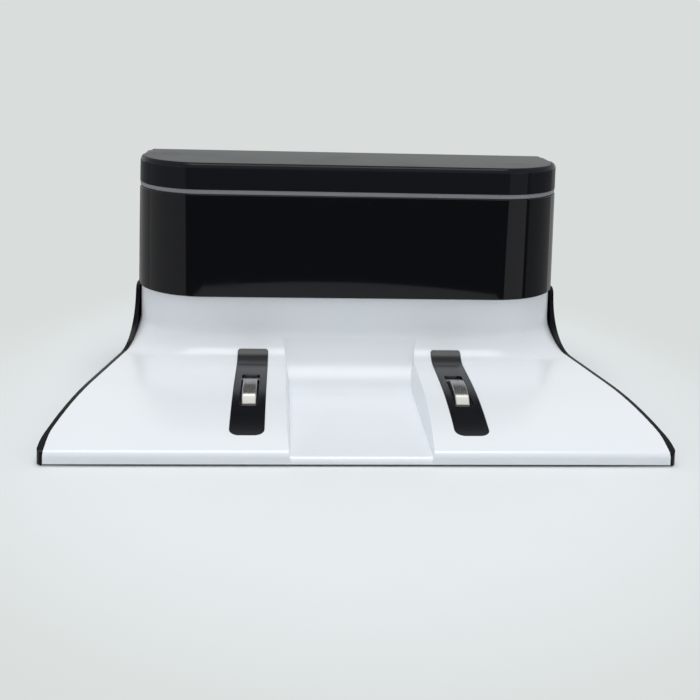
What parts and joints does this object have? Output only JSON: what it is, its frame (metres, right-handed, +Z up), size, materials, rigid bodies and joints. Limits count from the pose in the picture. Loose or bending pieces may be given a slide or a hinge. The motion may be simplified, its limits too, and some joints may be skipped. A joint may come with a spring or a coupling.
{
  "type": "robot vacuum charging dock",
  "caption": "Charging dock for a robot vacuum: flared white ramp with a caster channel and sprung contacts in black inlays, below a black tower with an infrared window.",
  "frame": {"origin": "middle of the bounding box, on the floor plane under the feet", "axes": "+X to the right seen from the front, +Y to the back, +Z up; the ramp faces -Y"},
  "size_m": [0.2218, 0.134, 0.0913],
  "materials": {
    "white_shell": "satin white moulded plastic",
    "black_housing": "gloss black moulded plastic",
    "black_base": "fine matte black moulded plastic",
    "window_gloss": "polished black infrared window",
    "cover_gloss": "polished black cover",
    "grey_trim": "satin grey trim",
    "bezel_gloss": "polished black inlay",
    "nickel": "bright nickel plating",
    "guide_plastic": "matte black moulded plastic",
    "terminal_brass": "bare brass sheet",
    "spring_steel": "bright spring strip",
    "board_laminate": "green solder mask",
    "header_plastic": "off-white moulded plastic",
    "dark_plastic": "matte black moulded plastic",
    "inlet_plastic": "matte black moulded plastic",
    "emitter_epoxy": "dark tinted resin",
    "foot_rubber": "soft grey-black rubber",
    "screw_steel": "plated steel",
    "lead_black": "black insulated wire",
    "lead_red": "red insulated wire"
  },
  "bodies": {
    "dock": {"ramp_shell": "white_shell", "rear_housing": "black_housing", "base_plate": "black_base", "ir_window": "window_gloss", "accent_strip": "grey_trim", "top_cover": "cover_gloss", "control_board": "board_laminate", "lead_header": "header_plastic", "beam_shroud": "dark_plastic", "dc_jack": "inlet_plastic", "base_screws": "screw_steel", "board_screws": "screw_steel", "inlet_lead": "lead_black", "contact_bezel_left": "bezel_gloss", "contact_guide_left": "guide_plastic", "contact_terminal_left": "terminal_brass", "contact_spring_left": "spring_steel", "contact_bezel_right": "bezel_gloss", "contact_guide_right": "guide_plastic", "contact_terminal_right": "terminal_brass", "contact_spring_right": "spring_steel", "contact_lead_left": "lead_black", "contact_lead_right": "lead_red", "ir_emitter_1": "emitter_epoxy", "foot_1": "foot_rubber", "ir_emitter_2": "emitter_epoxy", "foot_2": "foot_rubber", "ir_emitter_3": "emitter_epoxy", "foot_3": "foot_rubber", "ir_emitter_4": "emitter_epoxy", "foot_4": "foot_rubber"},
    "contact_left": {"contact_shoe_left": "nickel", "contact_carrier_left": "guide_plastic"},
    "contact_right": {"contact_shoe_right": "nickel", "contact_carrier_right": "guide_plastic"}
  },
  "joints": [
    {"name": "contact_left_press", "type": "slide", "parent": "dock", "child": "contact_left", "axis": [0, 0, -1], "range_m": [0, 0.002], "stiffness_N_per_m": 300, "springref_m": -0.001, "deforming": ["contact_spring_left"]},
    {"name": "contact_right_press", "type": "slide", "parent": "dock", "child": "contact_right", "axis": [0, 0, -1], "range_m": [0, 0.002], "stiffness_N_per_m": 300, "springref_m": -0.001, "deforming": ["contact_spring_right"]}
  ]
}
